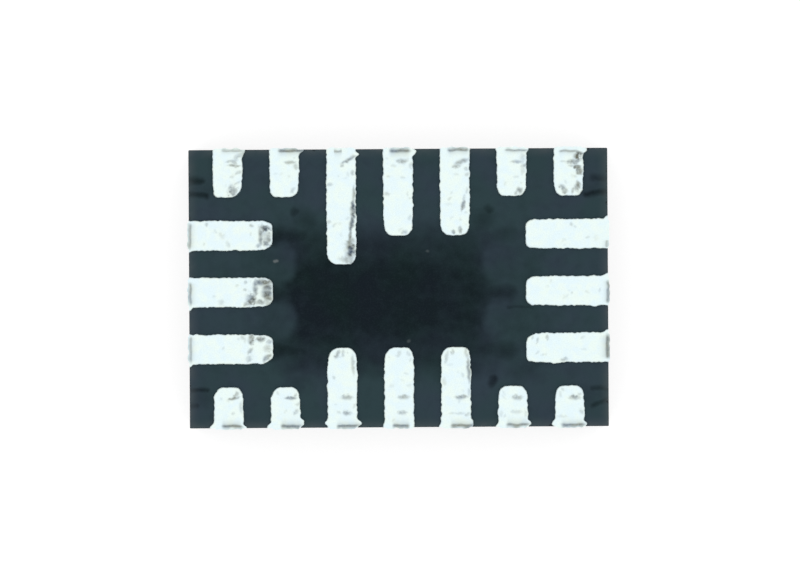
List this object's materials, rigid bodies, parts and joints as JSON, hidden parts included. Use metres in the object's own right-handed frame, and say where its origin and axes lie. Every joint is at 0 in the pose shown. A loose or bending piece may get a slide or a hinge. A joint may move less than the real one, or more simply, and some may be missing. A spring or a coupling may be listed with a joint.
{
  "type": "charger integrated circuit",
  "caption": "Flat leadless integrated circuit for charging a battery: a die on a copper lead frame, moulded in a dark epoxy block with bare solder pads round its underside.",
  "frame": {"origin": "centre of the marked face, on which the part lies", "axes": "+X along the long rows of leads, +Y along the short rows, +Z out of the solder pads"},
  "size_m": [0.003, 0.002, 0.0008],
  "materials": {
    "mould_compound": "matte",
    "tinned_lead": "matte",
    "silicon": "polished",
    "copper": "satin",
    "solder": "satin"
  },
  "bodies": {
    "root": {"mould_body": "mould_compound", "silicon_die": "silicon", "copper_pillars": "copper", "solder_joints": "solder", "lead_01": "tinned_lead", "lead_02": "tinned_lead", "lead_03": "tinned_lead", "lead_04": "tinned_lead", "lead_05": "tinned_lead", "lead_06": "tinned_lead", "lead_07": "tinned_lead", "lead_08": "tinned_lead", "lead_09": "tinned_lead", "lead_10": "tinned_lead", "lead_11": "tinned_lead", "lead_12": "tinned_lead", "lead_13": "tinned_lead", "lead_14": "tinned_lead", "lead_15": "tinned_lead", "lead_16": "tinned_lead", "lead_17": "tinned_lead", "lead_18": "tinned_lead", "lead_19": "tinned_lead", "lead_20": "tinned_lead"}
  },
  "joints": []
}
